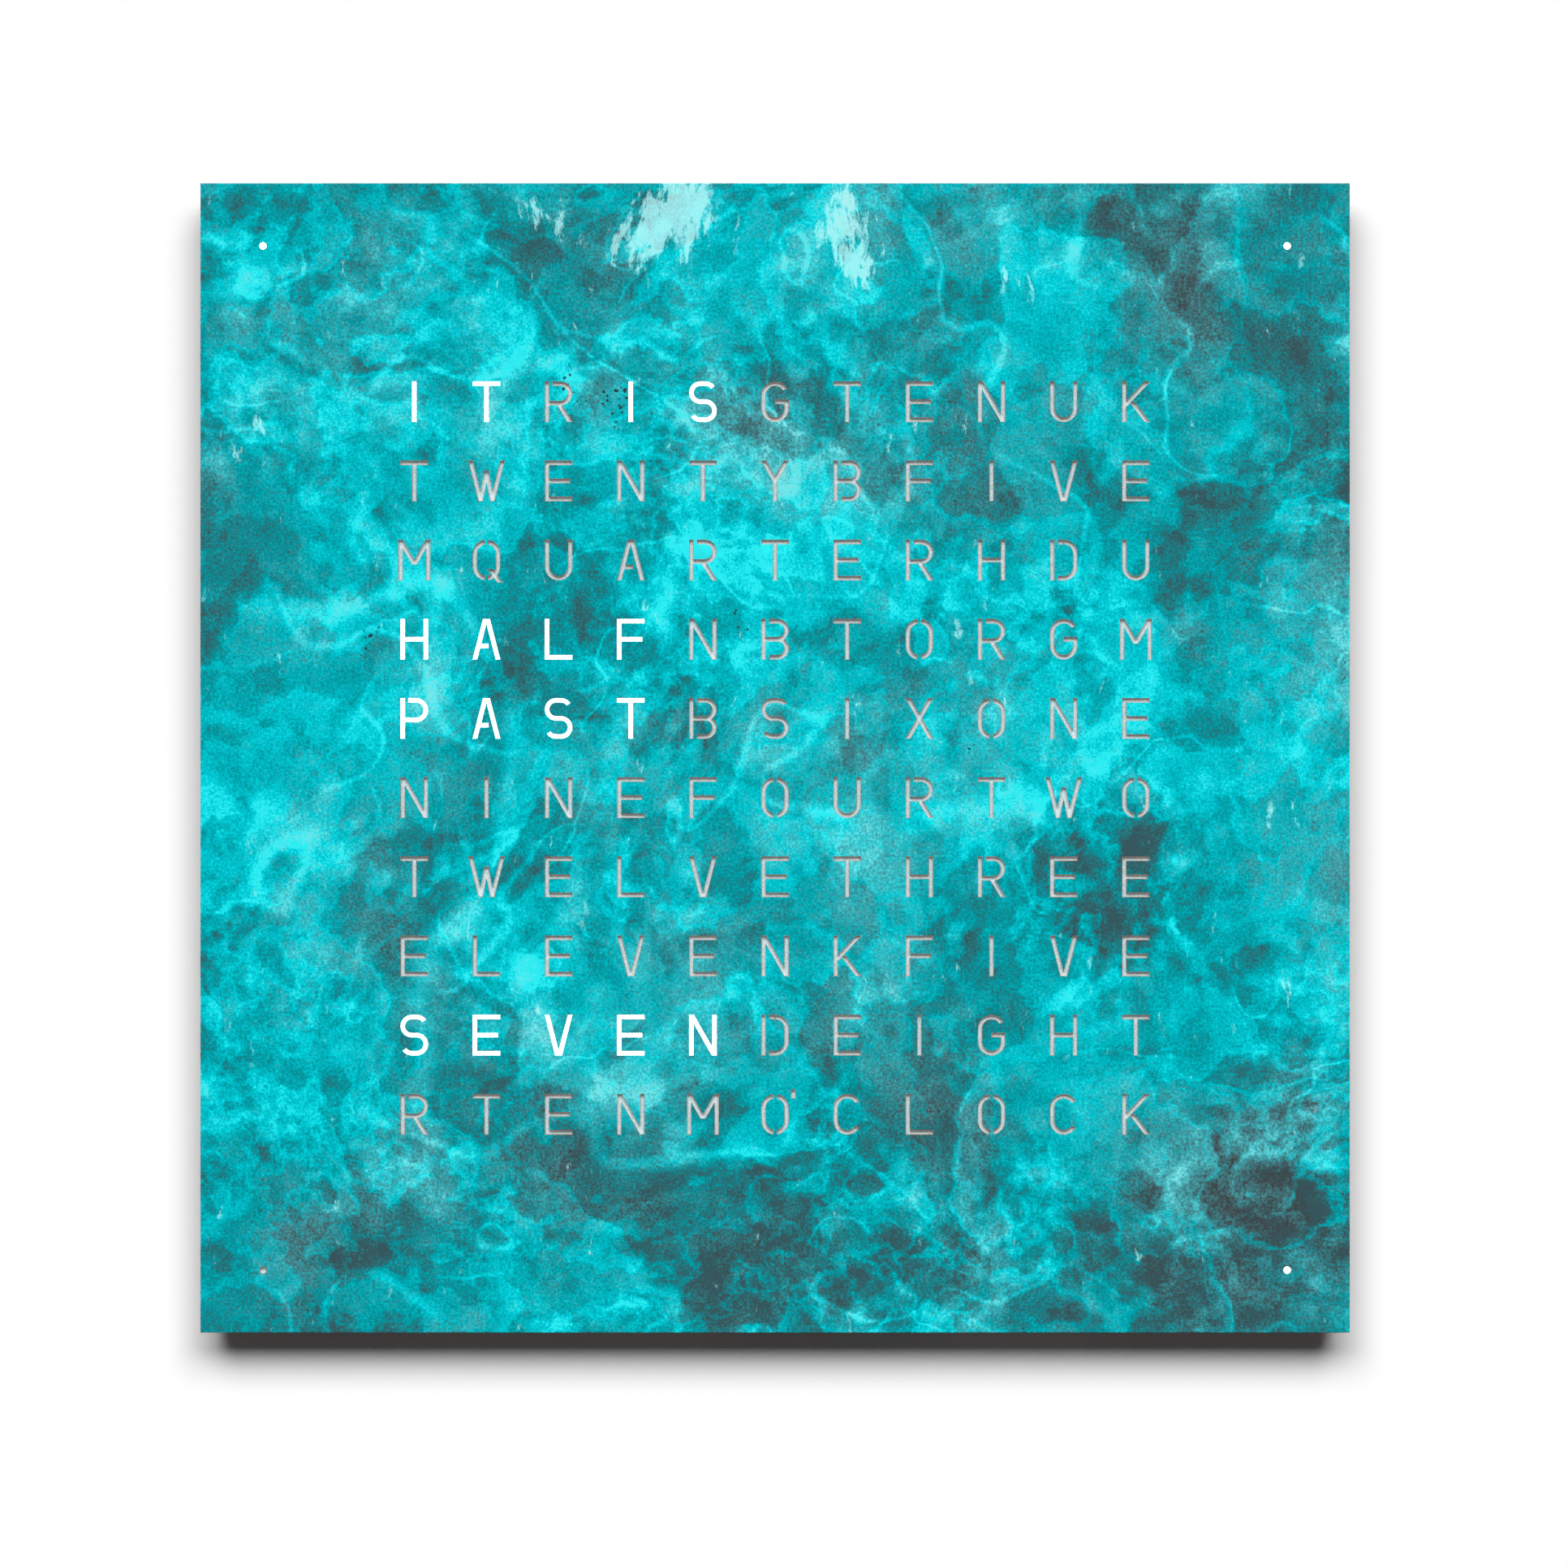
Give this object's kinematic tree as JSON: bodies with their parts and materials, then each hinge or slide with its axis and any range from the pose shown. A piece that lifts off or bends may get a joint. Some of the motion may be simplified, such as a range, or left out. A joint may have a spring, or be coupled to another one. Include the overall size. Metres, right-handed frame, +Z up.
{
  "type": "word clock",
  "caption": "Square wall word clock: a patinated metal cover with a matrix of letter cut-outs lit from behind, held by magnets on a flat lacquered body with keyhole hangers.",
  "frame": {"origin": "middle of the clock on the wall plane, level with the rear faces of the rubber bumpers", "axes": "+Y points into the wall, +Z up, +X to the right seen from the front; the cover faces -Y"},
  "size_m": [0.45, 0.02, 0.45],
  "materials": {
    "patina_copper": "copper sheet with a clouded turquoise patina, satin",
    "lacquered_board": "fibre board in a fine black lacquer",
    "opal_acrylic": "opal sheet that spreads the lamps' light",
    "white_plastic": "moulded, plain",
    "circuit_board": "white solder mask on glass fibre",
    "lamp_body": "white package with a phosphor window",
    "zinc_steel": "zinc plated",
    "nickel_plate": "nickel plated magnet",
    "black_plastic": "moulded, fine texture",
    "tin_can": "drawn can, bright",
    "terminal_plastic": "moulded",
    "cell_steel": "stainless shell",
    "connector_plastic": "moulded",
    "flat_cable": "laminated flat cable",
    "lead_jacket": "flat two-core lead",
    "clear_acrylic": "clear light pipe",
    "black_steel": "powder coated sheet",
    "black_screw_steel": "black oxide",
    "button_steel": "turned, satin",
    "contact_brass": "bright contact",
    "black_rubber": "soft rubber"
  },
  "bodies": {
    "root": {"body_panel": "lacquered_board", "cover_magnets": "nickel_plate", "diffuser_sheet": "opal_acrylic", "corner_diffusers": "opal_acrylic", "baffle_grid": "white_plastic", "lamp_board": "circuit_board", "controller_board": "circuit_board", "corner_boards": "circuit_board", "sensor_board": "circuit_board", "letter_lamps": "lamp_body", "corner_lamps": "lamp_body", "lamp_board_screws": "zinc_steel", "controller_screws": "zinc_steel", "microcontroller": "black_plastic", "driver_chips": "black_plastic", "voltage_regulator": "black_plastic", "clock_crystal": "tin_can", "smoothing_capacitor": "tin_can", "power_terminal": "terminal_plastic", "cell_holder": "black_plastic", "coin_cell": "cell_steel", "cable_connectors": "connector_plastic", "board_cable": "flat_cable", "corner_leads": "lead_jacket", "power_lead": "lead_jacket", "light_sensor": "black_plastic", "light_pipe": "clear_acrylic", "electronics_cover": "black_steel", "electronics_cover_screws": "black_screw_steel", "button_switches": "black_plastic", "power_jack": "black_plastic", "jack_pin": "contact_brass", "inlet_cover": "black_steel", "inlet_cover_screws": "black_screw_steel", "hanger_plates": "zinc_steel", "hanger_screws": "zinc_steel", "wall_bumpers": "black_rubber"},
    "front_cover": {"front_plate": "patina_copper", "keeper_plates": "zinc_steel"},
    "hours_button_unit": {"hours_button": "button_steel", "hours_switch_stem": "white_plastic"},
    "minutes_button_unit": {"minutes_button": "button_steel", "minutes_switch_stem": "white_plastic"},
    "mode_button_unit": {"mode_button": "button_steel", "mode_switch_stem": "white_plastic"}
  },
  "joints": [
    {"name": "cover_pull", "type": "slide", "parent": "root", "child": "front_cover", "axis": [0, -1, 0], "range_m": [0, 0.06]},
    {"name": "hours_press", "type": "slide", "parent": "root", "child": "hours_button_unit", "axis": [0, 0, 1], "range_m": [0, 0.0005], "stiffness_N_per_m": 400, "springref_m": -0.002},
    {"name": "minutes_press", "type": "slide", "parent": "root", "child": "minutes_button_unit", "axis": [0, 0, 1], "range_m": [0, 0.0005], "stiffness_N_per_m": 400, "springref_m": -0.002},
    {"name": "mode_press", "type": "slide", "parent": "root", "child": "mode_button_unit", "axis": [0, 0, 1], "range_m": [0, 0.0005], "stiffness_N_per_m": 400, "springref_m": -0.002}
  ]
}
